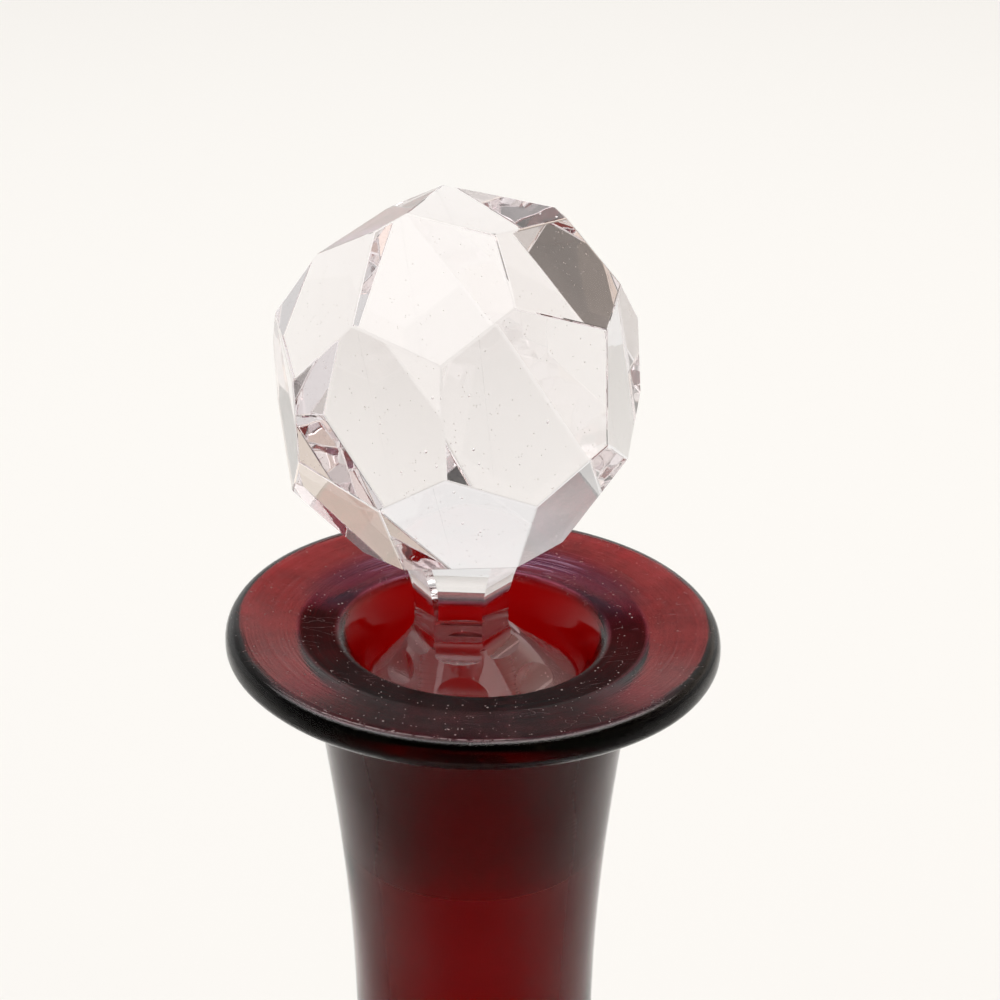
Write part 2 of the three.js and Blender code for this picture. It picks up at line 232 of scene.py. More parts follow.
class StageSettings(bpy.types.PropertyGroup):
    """Camera, floor and light"""

    distance: length("Camera distance", 300, "From the middle of the lip to the camera")
    elevation: angle("Camera elevation", 28.144, "Height of the camera above the lip, as an angle")
    roll: angle("Camera roll", 0.158, "Roll of the camera")
    lens: number("Lens", 80.64, "Focal length in millimetres on a 36 mm sensor")
    floor_colour: colour("Floor", (0.86, 0.86, 0.85), "Plain pale floor")
    light_power: number("Light power", 30, "Power of the large soft light")
    light_size: length("Light size", 2600, "Side of that light")
    light_height: length("Light height", 2200, "Its height above the floor")
    light_back: length("Light back", 600, "How far behind the decanter it hangs")
    wall_colour: colour("Walls", (1.0, 0.995, 0.98), "White of the studio")
    warm_colour: colour("Warm side", (0.98, 0.85, 0.73), "Beige of the studio's right side, above the walls")
    wall_light: number("Wall light", 1.04, "Brightness of the walls")
    right_loss: share("Loss on the right", 0.3, "How much dimmer the studio is on the right, low down")
    warm_light: number("Warm light", 0.3, "Brightness added on the warm side")
    wall_foot: share("Foot of the walls", 0.82, "Share of their light that the walls have at the floor")
    foot_top: angle("Top of that foot", 10, "Height at which the walls reach their own brightness")
    wall_top: angle("Top of the walls", 23, "Height up to which the studio is white")
    band_bottom: angle("Bottom of the band", 31, "Height from which the studio is dimmer")
    band_top: angle("Top of the band", 56, "Height up to which it stays dimmer")
    ceiling_bottom: angle("Bottom of the ceiling", 66, "Height from which it is bright again")
    band_light: share("Light of the band", 0.52, "Brightness of the dimmer band")
    ceiling_light: number("Ceiling light", 1.0, "Brightness of the ceiling")
    room_light: share("Light of the room", 0.16, "Brightness of the room behind the camera")
    room_height: angle("Height of the room", 42, "Height at which the room is darkest")
    room_inner: angle("Room inside", 10, "Half of the width that is fully dark")
    room_outer: angle("Room outside", 35, "Half of the width at which the studio is white again")


class Shade:
    """A value or vector in a material, so that a pattern is written as a sum of its parts"""

    def __init__(self, paint, socket):
        self.paint = paint
        self.socket = socket

    def maths(self, operation, *others):
        return self.paint.node("ShaderNodeMath", {"operation": operation}, self, *others)

    def __add__(self, other):
        return self.maths("ADD", other)

    __radd__ = __add__

    def __mul__(self, other):
        return self.maths("MULTIPLY", other)

    __rmul__ = __mul__

    def __sub__(self, other):
        return self.maths("SUBTRACT", other)

    def __rsub__(self, other):
        return self.paint.node("ShaderNodeMath", {"operation": "SUBTRACT"}, other, self)

    def __truediv__(self, other):
        return self.maths("DIVIDE", other)

    def __pow__(self, other):
        return self.maths("POWER", other)

    def above(self, low, high):
        """0 below low and 1 above high, with a soft step between them"""
        return self.paint.node(
            "ShaderNodeMapRange", {"interpolation_type": "SMOOTHSTEP"}, self, low, high, 0.0, 1.0
        )

    def below(self, low, high):
        return 1 - self.above(low, high)

    def between(self, low, high, edge):
        """1 between two values, fading over an edge inside them"""
        return self.above(low, low + edge) * self.below(high - edge, high)

    def most(self, other):
        return self.maths("MAXIMUM", other)


class Paint:
    """The node tree of a material or of the studio round it"""

    def __init__(self, owner):
        owner.use_nodes = True
        self.tree = owner.node_tree
        self.tree.nodes.clear()

    def node(self, kind, settings, *values, output=0, **named):
        """Adds a node, gives it its settings, then the values or links of its sockets"""
        made = self.tree.nodes.new(kind)
        for key, value in settings.items():
            setattr(made, key, value)
        sockets = [(made.inputs[i], v) for i, v in enumerate(values)]
        sockets += [(made.inputs[key.replace("_", " ")], v) for key, v in named.items()]
        for socket, value in sockets:
            if isinstance(value, Shade):
                self.tree.links.new(value.socket, socket)
            else:
                socket.default_value = value
        return made if output is None else Shade(self, made.outputs[output])

    def split(self, vector):
        """The three parts of a vector"""
        parts = self.node("ShaderNodeSeparateXYZ", {}, vector, output=None)
        return [Shade(self, parts.outputs[i]) for i in range(3)]

    def blend(self, factor, first, second):
        """From the first colour at 0 to the second at 1"""
        return self.node(
            "ShaderNodeMix", {"data_type": "RGBA"}, Factor=factor, A=first, B=second, output=2
        )


class Grain(NamedTuple):
    """Soft noise in waves per millimetre, which comes in between two of its values, from 0 to 1"""

    scale: float
    detail: float
    low: float = 0.0
    high: float = 1.0
    roughness: float = 0.55
    across: float = 0.0  # set where it runs round the axis: waves across the turn, with scale along it


PATCHES = Grain(0.15, 2.5, 0.36, 0.64)
MOTTLE = Grain(0.75, 4.0, 0.35, 0.7, roughness=0.62)
RINGS = Grain(1.2, 3.0, 0.35, 0.68, across=2.6)
HIGHLIGHT_STREAKS = Grain(2.0, 2.0, 0.52, 0.6, across=4.5)
CHIPS = Grain(0.9, 4.0, 0.3, 0.62, roughness=0.7)
NIBBLES = Grain(1.3, 3.0, 0.42, 0.62)
BLOWN = Grain(0.045, 1.0)
POLISH = Grain(0.1, 1.0)
GRINDING = Grain(0.6, 2.0, across=1.8)
SCRATCH_WANDER = Grain(1.0, 1.0)
SCRATCH_SPREAD = Grain(0.21, 1.0)

# What patches, mottling and rings add to the wear of the lip's stained top, what its two sides add, and how
# much painted shade darkens its front
PATCH_SHARE = 0.42
MOTTLE_SHARE = 0.22
RING_SHARE = 0.2
SIDE_SHARE = 0.18
FRONT_SHADE_AMOUNT = 0.5

# How far painted shade, painted sheen, painted streak highlights, dirt in the scratches and the painted
# highlight on the chips cover the glass of the lip, and how far they mirror
RING_SHADE = 0.85
FRONT_SHADE = 0.72
SHEEN_COVER = 0.9
SHEEN_MIRROR = 0.22
HIGHLIGHT_COVER = 0.8
HIGHLIGHT_MIRROR = 0.35
SCRATCH_DUST = 0.5
CHIP_DIRT_AND_HIGHLIGHT = 0.7
DUST_MIRROR = 0.3

# Roughness of the polished glass, and what each kind of wear and of grinding adds to it
RUBY_POLISH = 0.03
CLEAR_POLISH = 0.008
FACE_MATT = 0.08
WEAR_MATT = 0.1
RIM_MATT = 0.04
SEAT_MATT = 0.5
FOOT_MATT = 0.3
LINT_MATT = 0.5
NIBBLE_MATT = 0.2
SPECK_MATT = 0.4
PLUG_MATT = 0.52

# Heights that the patterns add, in millimetres
BLOWN_HEIGHT = 0.8
RING_HEIGHT = 0.02
SPECK_HEIGHT = 0.04
SCRATCH_HEIGHT = -0.02
CHIP_HEIGHT = -0.15
POLISH_HEIGHT = 0.025
GRINDING_HEIGHT = 0.008

# Specks: radius as a share of the cell, from full to none, and waves per cell and fade of their choice
SPECK_EDGE = (0.12, 0.22)
SPECK_CHOICE = 0.43
SPECK_FADE = 0.02

# Scratches: tilt of their lines, stretch along them, noise values that make a line, and fade at their ends
SCRATCH_TILT = (0.3, 0.2)
SCRATCH_STRETCH = 0.12
SCRATCH_LINE = (0.497, 0.503, 0.003)
SCRATCH_FADE = 0.1

# Cell size and share of the specks, and direction, spacing and share of the scratches
LIP_SPECKS = ((0.45, 0.36), (0.8, 0.34))
LIP_SCRATCHES = ((0.5, 3.0, 0.45), (2.1, 2.3, 0.45))
BALL_SPECKS = (0.5, 0.33)


class GlassPaint(Paint):
    """A glass with patterns that are placed in millimetres on its object"""

    def __init__(self, name):
        self.material = bpy.data.materials.new(name)
        super().__init__(self.material)
        place = self.node("ShaderNodeTexCoord", {}, output="Object")
        self.place = self.node("ShaderNodeVectorMath", {"operation": "SCALE"}, place, Scale=1 / MM)
        self.x, self.y, self.z = self.split(self.place)
        self.radius = (self.x * self.x + self.y * self.y) ** 0.5

    def around(self, along, across):
        """A place whose patterns run round the axis: few waves along the turn and many across it"""
        parts = (self.x / self.radius * along, self.y / self.radius * along, (self.radius + self.z) * across)
        return self.node("ShaderNodeCombineXYZ", {}, *parts)

    def noise(self, grain, place=None):
        """Soft noise from 0 to 1"""
        settings = {"Vector": place or self.place, "Scale": grain.scale}
        if grain.across:
            settings = {"Vector": self.around(grain.scale, grain.across), "Scale": 1.0}
        return self.node(
            "ShaderNodeTexNoise", {}, Detail=grain.detail, Roughness=grain.roughness, **settings
        )

    def shown(self, grain):
        """Where that noise comes in"""
        return self.noise(grain).above(grain.low, grain.high)

    def specks(self, size, density):
        """Small round specks, a share of the cells of that size in millimetres"""
        cell = self.node("ShaderNodeTexVoronoi", {}, Vector=self.place, Scale=1 / size, output="Distance")
        pick = self.noise(Grain(SPECK_CHOICE / size, 0.0))
        return cell.below(*SPECK_EDGE) * pick.above(1 - density, 1 + SPECK_FADE - density)

    def scratches(self, turn, spacing, amount):
        """Fine straight scratches that run one way, in millimetres apart"""
        stretch = (SCRATCH_STRETCH, 1 / spacing, 1 / spacing)
        place = self.node("ShaderNodeMapping", {}, self.place, (0, 0, 0), (*SCRATCH_TILT, turn), stretch)
        lines = self.noise(SCRATCH_WANDER, place).between(*SCRATCH_LINE)
        return lines * self.noise(SCRATCH_SPREAD).above(1 - amount, 1 + SCRATCH_FADE - amount)


def opaque(rgb):
    """A colour with full alpha"""
    return (*rgb, 1.0)


def finish_glass(paint, base, roughness, mirror, height, through, density, index, gleam=(1, 1, 1)):
    """Joins a pattern to one glass shader with its own colour inside, and heights in millimetres"""
    normal = paint.node("ShaderNodeBump", {}, Strength=1.0, Distance=MM, Height=height)
    shader = paint.node("ShaderNodeBsdfPrincipled", {"distribution": "MULTI_GGX"}, output=None)
    links = paint.tree.links
    links.new(base.socket, shader.inputs["Base Color"])
    links.new(roughness.socket, shader.inputs["Roughness"])
    links.new(mirror.socket, shader.inputs["Metallic"])
    links.new(normal.socket, shader.inputs["Normal"])
    shader.inputs["IOR"].default_value = index
    shader.inputs["Transmission Weight"].default_value = 1.0
    shader.inputs["Specular Tint"].default_value = opaque(gleam)
    own_colour = {"Color": opaque(through), "Density": density}
    inside = paint.node("ShaderNodeVolumeAbsorption", {}, output=None, **own_colour)
    output = paint.node("ShaderNodeOutputMaterial", {}, output=None)
    links.new(shader.outputs[0], output.inputs["Surface"])
    links.new(inside.outputs[0], output.inputs["Volume"])
    return paint.material


# Where each part of the lip's finish and of its painted shade, sheen and highlights comes in or goes out, in
# millimetres from mouth, rim or the lip's plane
TOP_BOTTOM = (-0.6, 0.4)
TOP_INSIDE = (-1.0, 0.4)
TOP_OUTSIDE = (-1.7, -0.3)
FLAT_OUTSIDE = (-1.2, -0.4)
SIDE_INSIDE = (4, 9)
SHEEN_RING = (-1, 10, 4.5)
SHADE_RING = (0.2, 6.5, 1.1)
SHADE_INSIDE = (1, 3)
CHIP_EDGE = (-0.1, 0.26, 0.14)
CHIP_BREAK = (-0.8, 0.5, 0.3)
CHIP_BOTTOM = (1.2, 1.8)
CHIP_DEPTH = (0.62, 0.68)

# The same by bearing, as the part of a direction to the right or the back, and in millimetres to the back
SIDE_BEARING = (0.45, 0.95)
SHEEN_BEARING = (0.1, 0.6)
SHADE_BEARING = (-0.92, -0.5)
HIGHLIGHT_BEARING = (0.15, 0.75, 0.2)
CHIP_BEARING = (-0.84, 0.22, 0.14)
BREAK_BEARING = (-0.5, -0.3)
DARK_FRONT = (-16, 4)
CHIP_FRONT = (-2, 0)

# Borders of the ground places, in millimetres
SEAT_FADE = 0.4
SEAT_OUTSIDE = (0.15, 0.6)
FOOT_TOP = (0.2, 0.6)
FOOT_FADE = 1.5
PLUG_TOP_FADE = (-0.4, 0)
PLUG_BOTTOM_FADE = (-0.1, 0.3)
PLUG_FACE_FADE = (0, 0.3)
PLUG_INSIDE = (-2.2, -1.9)


class LipPlaces:
    """Where the finish of the lip lies, in millimetres from mouth, rim and the lip's leaning plane"""

    def __init__(self, paint, sizes):
        self.above = paint.z + paint.x * math.tan(sizes.lip_lean) - sizes.lip_height / MM
        self.from_mouth = paint.radius - sizes.mouth_diameter / 2 / MM
        self.from_rim = paint.radius - sizes.lip_diameter / 2 / MM
        self.from_corner = self.from_rim + sizes.lip_top_edge / MM
        self.to_right = paint.x / paint.radius
        self.to_back = paint.y / paint.radius
        self.sideways = self.to_right.maths("ABSOLUTE")
        self.top = self.above.above(*TOP_BOTTOM) * self.from_mouth.above(*TOP_INSIDE)
        self.top = self.top * self.from_rim.below(*TOP_OUTSIDE)
        self.flat = self.top * self.from_rim.below(*FLAT_OUTSIDE)


def lip_wear_and_shade(paint, place):
    """Patches, mottling and rings on the lip's top, lighter on its two sides and with painted shade
    darkening its front, as one amount from 0 to 1, and the rings alone
    """
    rings = paint.shown(RINGS)
    sides = place.sideways.above(*SIDE_BEARING) * place.from_mouth.above(*SIDE_INSIDE)
    worn = paint.shown(PATCHES) * PATCH_SHARE + paint.shown(MOTTLE) * MOTTLE_SHARE
    worn = worn + rings * RING_SHARE + sides * SIDE_SHARE
    # Painted shade: the front of the lip's top is pulled towards the darker colour
    return worn * (1 - paint.y.below(*DARK_FRONT) * FRONT_SHADE_AMOUNT), rings


def lip_chips(paint, place):
    """Nibbled corner and one broken place at the lip's front left, as a mask that also paints a pale
    highlight line there, and the height of their floor
    """
    grain = paint.noise(CHIPS)
    reach = place.to_right.between(*CHIP_BEARING) * paint.y.below(*CHIP_FRONT)
    reach = reach * place.above.above(*CHIP_BOTTOM)
    nibbled = place.from_corner.between(*CHIP_EDGE) * grain.above(CHIPS.low, CHIPS.high)
    broken = place.from_corner.between(*CHIP_BREAK) * grain.above(*CHIP_DEPTH)
    chipped = nibbled.most(broken * place.to_right.below(*BREAK_BEARING)) * reach
    return chipped, chipped * grain * CHIP_HEIGHT


def ruby_glass(sizes, stopper, finish):
    """Blown ruby glass: polished outside, worn and dusty on top of the lip with painted shade, sheen and
    highlights there, ground matt in the seat
    """
    paint = GlassPaint("ruby_glass")
    place = LipPlaces(paint, sizes)
    top = place.top
    flat = place.flat
    plug_top = (sizes.lip_height - stopper.plug_depth) / MM
    seat_bottom = plug_top - (stopper.plug_length + stopper.seat_run_out) / MM
    from_seat = paint.radius - (stopper.plug_top / 2 + stopper.seat_clearance) / MM
    seat = paint.z.between(seat_bottom, plug_top + SEAT_FADE, SEAT_FADE) * from_seat.below(*SEAT_OUTSIDE)
    foot_outside = sizes.foot_diameter / 2 / MM
    foot_inside = foot_outside - (sizes.foot_ring + 3 * sizes.foot_edge) / MM
    foot = paint.z.below(*FOOT_TOP) * paint.radius.between(foot_inside, foot_outside, FOOT_FADE)

    # worn also carries the painted shade at the lip's front
    worn, rings = lip_wear_and_shade(paint, place)
    # Painted reflection: purple sheen painted on the top round the back of the mouth
    painted_sheen = place.to_back.above(*SHEEN_BEARING) * place.from_mouth.between(*SHEEN_RING) * top
    # Painted shade: a dark ring round the mouth and a dark patch at the lip's front, painted dark and
    # mirrored as dark metal
    ring = place.from_mouth.between(*SHADE_RING) * RING_SHADE
    front = place.to_back.below(*SHADE_BEARING) * place.from_mouth.above(*SHADE_INSIDE) * flat
    painted_shade = ring.most(front * FRONT_SHADE) * top * (1 - painted_sheen)
    # Painted highlight: pale streak highlights painted in the sheen at the back of the mouth
    highlight_streaks = paint.shown(HIGHLIGHT_STREAKS) * painted_sheen * place.sideways.between(*HIGHLIGHT_BEARING)
    fine, coarse = (paint.specks(*each) for each in LIP_SPECKS)
    specks = fine.most(coarse)
    one_way, other_way = (paint.scratches(*each) for each in LIP_SCRATCHES)
    scratches = one_way.most(other_way)
    chipped, chip_floor = lip_chips(paint, place)
    # Painted highlight: the chipped edge takes the pale speck colour and a mirror, as a bright line; the
    # specks and scratches are real dirt
    lint_and_highlight = (specks.most(scratches * SCRATCH_DUST) * top).most(chipped * CHIP_DIRT_AND_HIGHLIGHT)

    base = paint.blend(flat, WHITE, paint.blend(worn, opaque(finish.stain_and_shade), opaque(finish.glow)))
    # Painted sheen, painted streak highlights, painted shade and the painted chip highlight are laid over
    # the glass colour here
    base = paint.blend(painted_sheen * SHEEN_COVER, base, opaque(finish.painted_sheen))
    base = paint.blend(highlight_streaks * HIGHLIGHT_COVER, base, opaque(finish.streak_highlight))
    base = paint.blend(painted_shade, base, opaque(finish.painted_shade))
    base = paint.blend(lint_and_highlight, base, opaque(finish.dust_and_highlight))

    roughness = RUBY_POLISH + flat * (FACE_MATT + worn * WEAR_MATT)
    roughness = roughness + (1 - flat) * top * RIM_MATT
    roughness = roughness + seat * SEAT_MATT + foot * FOOT_MATT + lint_and_highlight * LINT_MATT
    # The painted sheen, highlights and shade also mirror like metal
    sheen = painted_sheen * SHEEN_MIRROR + highlight_streaks * HIGHLIGHT_MIRROR
    mirror = (lint_and_highlight * DUST_MIRROR).most(sheen).most(painted_shade)
    height = paint.noise(BLOWN) * BLOWN_HEIGHT + rings * flat * RING_HEIGHT
    height = height + scratches * top * SCRATCH_HEIGHT + specks * top * SPECK_HEIGHT
    height = height + seat * paint.noise(GRINDING) * GRINDING_HEIGHT + chip_floor
    return finish_glass(
        paint, base, roughness, mirror, height,
        finish.ruby_through, finish.ruby_density, finish.ruby_index, finish.ruby_gleam,
    )


def clear_glass(sizes, stopper, finish):
    """Clear lead glass: cut and polished, with softened edges, and ground matt on the plug"""
    paint = GlassPaint("clear_glass")
    below_top = paint.z - (sizes.lip_height - stopper.plug_depth) / MM
    above_bottom = below_top + stopper.plug_length / MM
    ground = below_top.below(*PLUG_TOP_FADE) * above_bottom.above(*PLUG_BOTTOM_FADE)
    ground = ground * (paint.radius - stopper.plug_top / 2 / MM).above(*PLUG_INSIDE)
    ground = ground.most(above_bottom.below(*PLUG_FACE_FADE))

    worn = paint.node("ShaderNodeAttribute", {"attribute_name": "edge_wear"}, output="Fac")
    nibbled = worn * paint.shown(NIBBLES)
    specks = paint.specks(*BALL_SPECKS)

    base = paint.blend(specks, WHITE, opaque(finish.dust_and_highlight))
    roughness = CLEAR_POLISH + nibbled * NIBBLE_MATT
    roughness = roughness + specks * SPECK_MATT + ground * PLUG_MATT
    height = paint.noise(POLISH) * POLISH_HEIGHT + ground * paint.noise(GRINDING) * GRINDING_HEIGHT
    return finish_glass(
        paint, base, roughness, specks * DUST_MIRROR, height,
        finish.clear_through, finish.clear_density, finish.clear_index,
    )


def at(radius, height):
    return Vector((radius, 0, height))


class Taper:
    """The one taper that plug and seat share"""

    def __init__(self, sizes, stopper):
        self.top = sizes.lip_height - stopper.plug_depth
        self.bottom = self.top - stopper.plug_length
        self.seat_bottom = self.bottom - stopper.seat_run_out
        self.stopper = stopper

    def plug(self, height):
        s = self.stopper
        return (s.plug_top - s.plug_taper * (self.top - height) / s.plug_length) / 2

    def seat(self, height):
        return self.plug(height) + self.stopper.seat_clearance


class Outline:
    """Points of a line that is drawn on from its own end, and then turned round the axis"""

    def __init__(self, *points):
        self.points = list(points)

    def line(self, end, steps=1):
        start = self.points[-1]
        self.points += [start.lerp(end, (i + 1) / steps) for i in range(steps)]

    def bend(self, control, end, steps):
        """A curve with one control point"""
        start = self.points[-1]
        leaving = start + (control - start) * (2 / 3)
        arriving = end + (control - end) * (2 / 3)
        self.sweep(leaving, arriving, end, steps)

    def sweep(self, leaving, arriving, end, steps):
        """A curve with two control points"""
        self.points += interpolate_bezier(self.points[-1], leaving, arriving, end, steps + 1)[1:]


def draw_outside(outline, s, taper):
    """Outside of the bottle, from the middle of the hollow under the base up to the lip's underside"""
    body = s.body_diameter / 2
    foot = s.foot_diameter / 2
    ring_outer = foot - s.foot_edge
    ring_inner = ring_outer - s.foot_ring
    waist = s.waist_bore / 2 + s.waist_wall
    rise = s.waist_height - s.belly_height
    under = s.lip_height - s.lip_below
    collar = at(taper.seat((taper.top + taper.bottom) / 2) + s.seat_wall, under - s.collar_flare)
    neck_rise = collar.z - s.waist_height
    neck_spread = collar.x - waist
    outline.line(at(s.pontil_diameter / 2, s.kick_height), STEPS["pontil"])
    outline.bend(at(ring_inner - s.foot_edge, s.kick_height), at(ring_inner, 0), STEPS["kick"])
    outline.line(at(ring_outer, 0), STEPS["ring"])
    outline.bend(at(foot, 0), at(foot, s.foot_edge), STEPS["foot"])
    outline.sweep(
        at(foot + s.foot_fullness * (body - foot), s.foot_heel),
        at(body, s.belly_fullness * s.belly_height),
        at(body, s.belly_height),
        STEPS["belly"],
    )
    outline.sweep(
        at(body, s.belly_height + s.shoulder_fullness * rise),
        at(waist + s.shoulder_flare, s.belly_height + s.shoulder_sweep * rise),
        at(waist, s.waist_height),
        STEPS["shoulder"],
    )
    outline.sweep(
        at(waist, s.waist_height + s.neck_ease * neck_rise),
        at(collar.x - (1 - s.neck_ease) * neck_spread, s.waist_height + (1 - s.neck_ease) * neck_rise),
        collar,
        STEPS["neck"],
    )
    outline.bend(at(collar.x + s.collar_swell, under), at(collar.x + s.collar_reach, under), STEPS["collar"])
    outline.line(at(s.lip_diameter / 2 - s.under_reach, under), STEPS["underside"])


def draw_lip(outline, s, taper):
    """Lip, from its underside over the rim and the top face into the mouth and down to the seat"""
    radius = s.lip_diameter / 2
    top = s.lip_height + s.lip_above
    under = s.lip_height - s.lip_below
    mouth = s.mouth_diameter / 2
    mouth_top = top - s.lip_dip
    seat_top = at(taper.seat(taper.top), taper.top)
    outline.sweep(
        at(radius - s.under_reach + s.under_fullness * s.under_reach, under),
        at(radius, s.lip_height - s.under_fullness * s.lip_below),
        at(radius, s.lip_height),
        STEPS["rim"],
    )
    outline.bend(at(radius, top), at(radius - s.lip_top_edge, top), STEPS["top edge"])
    outline.line(at(mouth + s.mouth_rounding, mouth_top), STEPS["top face"])
    mouth_inner = at(mouth - s.mouth_rounding, mouth_top - 2 * s.mouth_rounding)
    outline.bend(at(mouth, mouth_top), mouth_inner, STEPS["mouth"])
    outline.bend(at(seat_top.x, taper.top + s.throat_rounding), seat_top, STEPS["throat"])


def draw_inside(outline, s, taper):
    """Inside of the bottle, from the ground seat down to the middle of the floor"""
    body = s.body_diameter / 2
    foot = s.foot_diameter / 2
    hollow = body - s.body_wall
    bore = s.waist_bore / 2
    floor = foot - s.foot_edge - s.foot_ring / 2
    floor_top = s.kick_height + s.base_thickness
    rise = s.waist_height - s.belly_height
    inner_sweep = (s.shoulder_sweep - s.shoulder_thinning) * rise
    inner_fullness = (s.shoulder_fullness - s.shoulder_thinning) * rise
    outline.line(at(taper.seat(taper.seat_bottom), taper.seat_bottom), STEPS["seat"])
    outline.sweep(
        at(bore, taper.seat_bottom - s.bore_ease),
        at(bore, s.waist_height + s.bore_ease),
        at(bore, s.waist_height),
        STEPS["bore"],
    )
    outline.sweep(
        at(bore + s.shoulder_flare, s.belly_height + inner_sweep),
        at(hollow, s.belly_height + inner_fullness),
        at(hollow, s.belly_height),
        STEPS["shoulder"],
    )
    outline.sweep(
        at(hollow, s.belly_height / 2),
        at(floor + (body - foot) / 2, s.base_thickness),
        at(floor, s.base_thickness),
        STEPS["inner belly"],
    )
    outline.bend(at(s.pontil_diameter / 2, s.base_thickness), at(0, floor_top), STEPS["floor"])


def spun(points, steps=ROUND_STEPS):
    """A closed skin, made by turning a line of points round the axis"""
    bm = bmesh.new()
    verts = [bm.verts.new(p) for p in points]
    edges = [bm.edges.new(pair) for pair in zip(verts, verts[1:])]
    bmesh.ops.spin(
        bm, geom=verts + edges, cent=(0, 0, 0), axis=UP, angle=2 * math.pi, steps=steps, use_merge=True
    )
    bmesh.ops.remove_doubles(bm, verts=bm.verts, dist=MERGE_DISTANCE)
    bmesh.ops.recalc_face_normals(bm, faces=bm.faces)
    return bm


def smooth_step(value, low, high):
    t = min(max((value - low) / (high - low), 0), 1)
    return t * t * (3 - 2 * t)


def lean_lip(bm, s, taper):
    """Drops the lip on its right, and gives it the slight unevenness of hand work"""
    fall = math.tan(s.lip_lean)
    under = s.lip_height - s.lip_below
    throat = taper.seat(taper.top) + THROAT_MARGIN
    for v in bm.verts:
        weight = smooth_step(v.co.z, taper.top, under)
        radius = math.hypot(v.co.x, v.co.y)
        bump = s.waviness * noise.noise(v.co * TOP_BUMPS) * smooth_step(radius, throat, s.lip_diameter / 2)
        v.co.z += weight * (bump - fall * v.co.x)
        if weight > 0:
            grown = 1 + weight * s.waviness * noise.noise(v.co * RIM_BUMPS + UP) / max(radius, MM)
            v.co.x *= grown
            v.co.y *= grown


def made_object(bm, name, material=None):
    """Turns a bmesh into an object of the scene"""
    mesh = bpy.data.meshes.new(name)
    bm.to_mesh(mesh)
    bm.free()
    if material:
        mesh.materials.append(material)
    made = bpy.data.objects.new(name, mesh)
    bpy.context.scene.collection.objects.link(made)
    return made


def solid(bm, name, smooth):
    """An object that others are joined with or cut by"""
    for f in bm.faces:
        f.smooth = smooth
    return made_object(bm, name)


def piece(bm, name, material, body, node):
    """A piece that rides on its body and stands for its node"""
    made = made_object(bm, name, material)
    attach(made, body)
    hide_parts(node)


def outward(bearing, slope):
    """Unit vector at a bearing from the front and a slope above the level"""
    turn = math.radians(bearing)
    rise = math.radians(slope)
    return Vector((math.sin(turn) * math.cos(rise), -math.cos(turn) * math.cos(rise), math.sin(rise)))


def tilt(back, right):
    """A lean to the back and to the right"""
    return Matrix.Rotation(-back, 4, "X") @ Matrix.Rotation(right, 4, "Y")


def facet_cuts(s):
    """Direction and depth of every facet of the ball"""
    cuts = [(tilt(s.crown_back, s.crown_right) @ UP, s.crown_depth), (-UP, s.bottom_depth)]
    lean = tilt(s.lean_back, -s.lean_left)
    rows = ((UPPER_ROW, s.upper_depth), (MIDDLE_ROW, s.middle_depth), (LOWER_ROW, s.lower_depth))
    for row, depth in rows:
        for bearing, slope, proud in row:
            cuts.append((lean @ outward(bearing, slope), depth * (1 + proud)))
    return cuts


def cut_ball(s):
    """The ball, ground flat facet by facet out of a block, with its edges softened"""
    bm = bmesh.new()
    bmesh.ops.create_cube(bm, size=4 * s.crown_depth)
    for direction, depth in facet_cuts(s):
        everything = bm.verts[:] + bm.edges[:] + bm.faces[:]
        cut = bmesh.ops.bisect_plane(
            bm, geom=everything, plane_co=direction * depth, plane_no=direction, clear_outer=True
        )
        rim = [e for e in cut["geom_cut"] if isinstance(e, bmesh.types.BMEdge)]
        bmesh.ops.edgeloop_fill(bm, edges=rim)
    bmesh.ops.recalc_face_normals(bm, faces=bm.faces)
    bmesh.ops.bevel(
        bm, geom=bm.edges[:], offset=s.facet_edge, segments=BEVEL_STEPS, profile=0.5, affect="EDGES",
        material=-1,
    )
    return bm


def mark_wear(bm):
    """Insets the large facets, and marks what lies outside the inset as worn edge"""
    layer = bm.verts.layers.float.new("edge_wear")
    for v in bm.verts:
        v[layer] = 1.0
    large = [f for f in bm.faces if f.calc_area() > LARGE_FACET ** 2]
    bmesh.ops.inset_individual(bm, faces=large, thickness=WEAR_WIDTH, use_even_offset=True)
    for f in large:
        for v in f.verts:
            v[layer] = 0.0


def fluted_hull(s):
    """What the wheel leaves standing inside the hollow flutes of the neck"""
    width = 2 * s.plug_top
    waist = s.waist_flats / 2
    top = s.top_flats / 2
    ball_foot = s.ball_height - s.bottom_depth
    rise = ball_foot - s.neck_waist
    outline = Outline(at(0, -width), at(width, -width), at(width, s.flute_foot))
    outline.line(at(s.flute_reach, s.flute_foot))
    outline.bend(at(waist, s.flute_foot), at(waist, s.flute_straight), STEPS["flute foot"])
    outline.line(at(waist, s.neck_waist), STEPS["flute"])
    outline.sweep(
        at(waist, s.neck_waist + s.flute_ease * rise),
        at(top - s.flute_flare, s.neck_waist + (1 - s.flute_ease / 2) * rise),
        at(top, ball_foot),
        STEPS["flute top"],
    )
    outline.line(at(top, 2 * ball_foot))
    outline.line(at(0, 2 * ball_foot))
    half_side = math.pi / s.sides
    bm = spun([at(p.x / math.cos(half_side), p.z) for p in outline.points], s.sides)
    turn = Matrix.Rotation(s.neck_turn - math.pi / 2 + half_side, 3, "Z")
    bmesh.ops.rotate(bm, cent=(0, 0, 0), matrix=turn, verts=bm.verts)
    return bm


